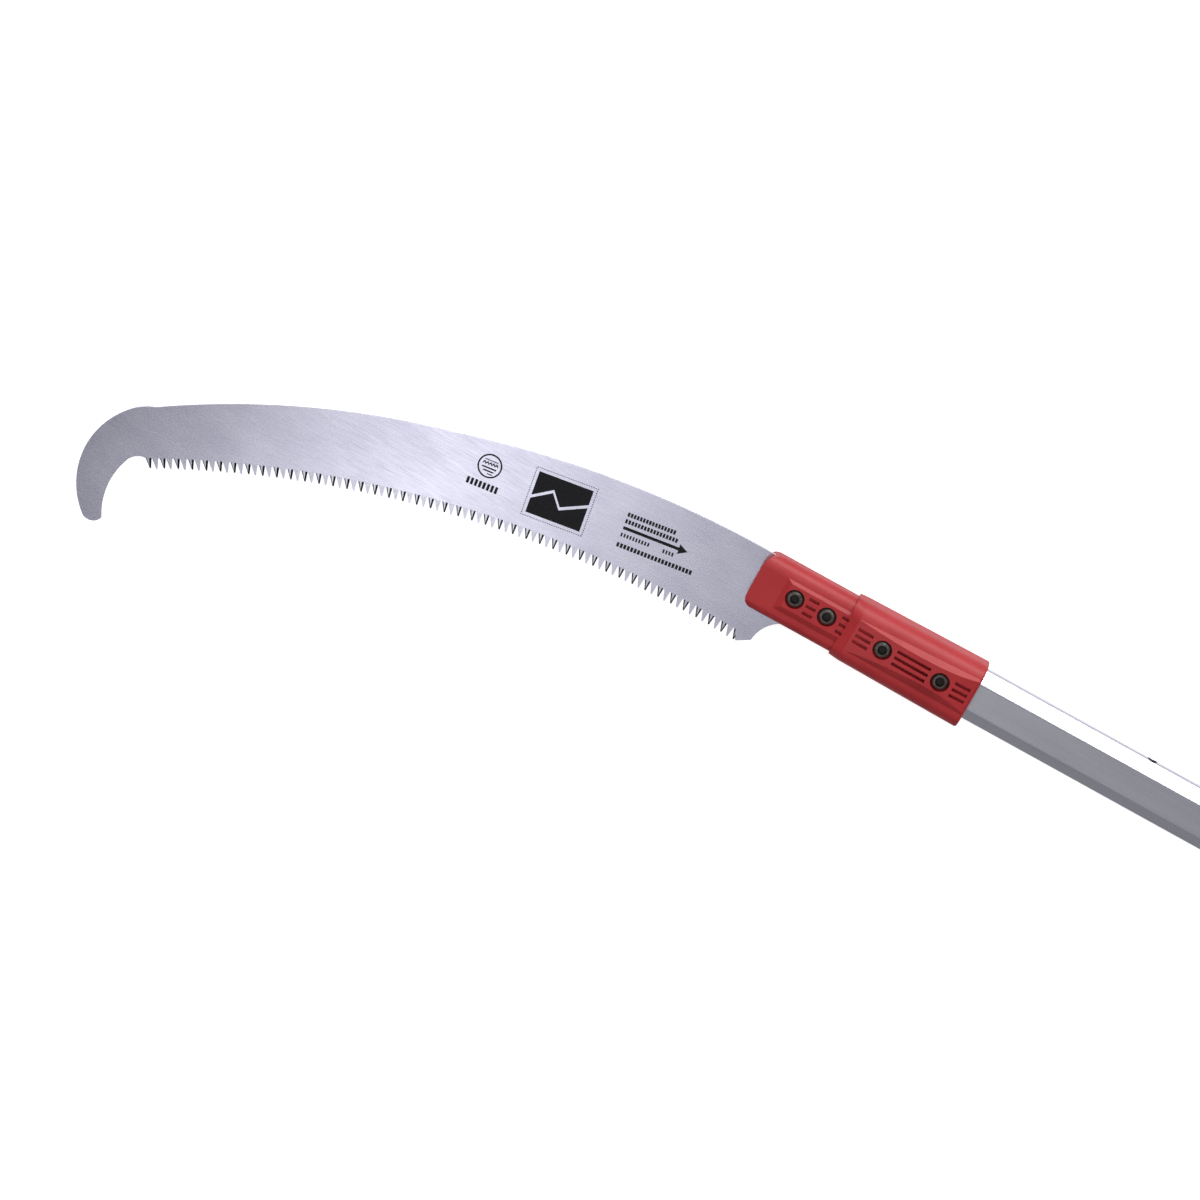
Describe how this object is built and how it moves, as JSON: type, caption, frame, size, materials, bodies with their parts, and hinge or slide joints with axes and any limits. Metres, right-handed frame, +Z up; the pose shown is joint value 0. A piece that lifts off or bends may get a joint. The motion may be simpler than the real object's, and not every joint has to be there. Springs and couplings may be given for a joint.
{
  "type": "telescoping pole saw",
  "caption": "Curved pruning saw with a hooked tip, bolted in a red two-part head on a telescoping aluminium pole with cam-lever collars.",
  "frame": {"origin": "under the middle of the whole saw, on the surface it lies on", "axes": "+X along the pole from the blade to the butt, +Y towards the blade's spine side, +Z up"},
  "size_m": [1.8557, 0.2158, 0.0427],
  "materials": {
    "blade_steel": "fine brushed, bright",
    "head_red": "satin moulded",
    "black_screw": "black oxide",
    "zinc_steel": "zinc plated",
    "pole_aluminium": "satin anodised",
    "collar_black": "moulded, matte",
    "lever_red": "satin moulded",
    "core_plastic": "moulded",
    "spring_steel": "drawn wire",
    "grip_rubber": "ribbed"
  },
  "bodies": {
    "lower_pole": {"lower_tube": "pole_aluminium", "grip_sleeve": "grip_rubber", "butt_cap": "collar_black", "lower_collar": "collar_black", "lower_spring_cap": "zinc_steel", "lower_clamp_bolt": "zinc_steel", "lower_clamp_nut": "zinc_steel", "lower_collar_rivets": "zinc_steel", "lower_index_spring": "spring_steel"},
    "middle_pole": {"middle_tube": "pole_aluminium", "middle_guide_bush": "core_plastic", "upper_collar": "collar_black", "upper_spring_cap": "zinc_steel", "upper_clamp_bolt": "zinc_steel", "upper_clamp_nut": "zinc_steel", "upper_collar_rivets": "zinc_steel", "upper_index_spring": "spring_steel"},
    "upper_pole": {"upper_tube": "pole_aluminium", "upper_guide_bush": "core_plastic", "tube_core": "core_plastic", "head_shell_near": "head_red", "head_shell_far": "head_red", "blade": "blade_steel", "blade_screws": "black_screw", "pole_screws": "black_screw", "blade_nuts": "zinc_steel", "pole_nuts": "zinc_steel"},
    "upper_cam_lever": {"upper_lever": "lever_red", "upper_lever_pin": "zinc_steel"},
    "lower_cam_lever": {"lower_lever": "lever_red", "lower_lever_pin": "zinc_steel"},
    "upper_plunger": {"upper_index_pin": "zinc_steel", "upper_pin_knob": "collar_black"},
    "lower_plunger": {"lower_index_pin": "zinc_steel", "lower_pin_knob": "collar_black"}
  },
  "joints": [
    {"name": "middle_slide", "type": "slide", "parent": "lower_pole", "child": "middle_pole", "axis": [-1, 0, 0], "range_m": [0, 0.6]},
    {"name": "upper_slide", "type": "slide", "parent": "middle_pole", "child": "upper_pole", "axis": [-1, 0, 0], "range_m": [-0.1, 0.6]},
    {"name": "upper_lever_hinge", "type": "hinge", "parent": "middle_pole", "child": "upper_cam_lever", "pos_m": [-0.20915, 0.02678, 0.034], "axis": [1, 0, 0], "range_deg": [0, 110]},
    {"name": "lower_lever_hinge", "type": "hinge", "parent": "lower_pole", "child": "lower_cam_lever", "pos_m": [-0.10915, 0.02477, 0.036], "axis": [1, 0, 0], "range_deg": [0, 110]},
    {"name": "upper_index_pull", "type": "slide", "parent": "middle_pole", "child": "upper_plunger", "axis": [0, 1, 0], "range_m": [-0.0036, 0.003], "stiffness_N_per_m": 300, "deforming": ["upper_index_spring"]},
    {"name": "lower_index_pull", "type": "slide", "parent": "lower_pole", "child": "lower_plunger", "axis": [0, 1, 0], "range_m": [-0.0036, 0.003], "stiffness_N_per_m": 300, "deforming": ["lower_index_spring"]}
  ]
}
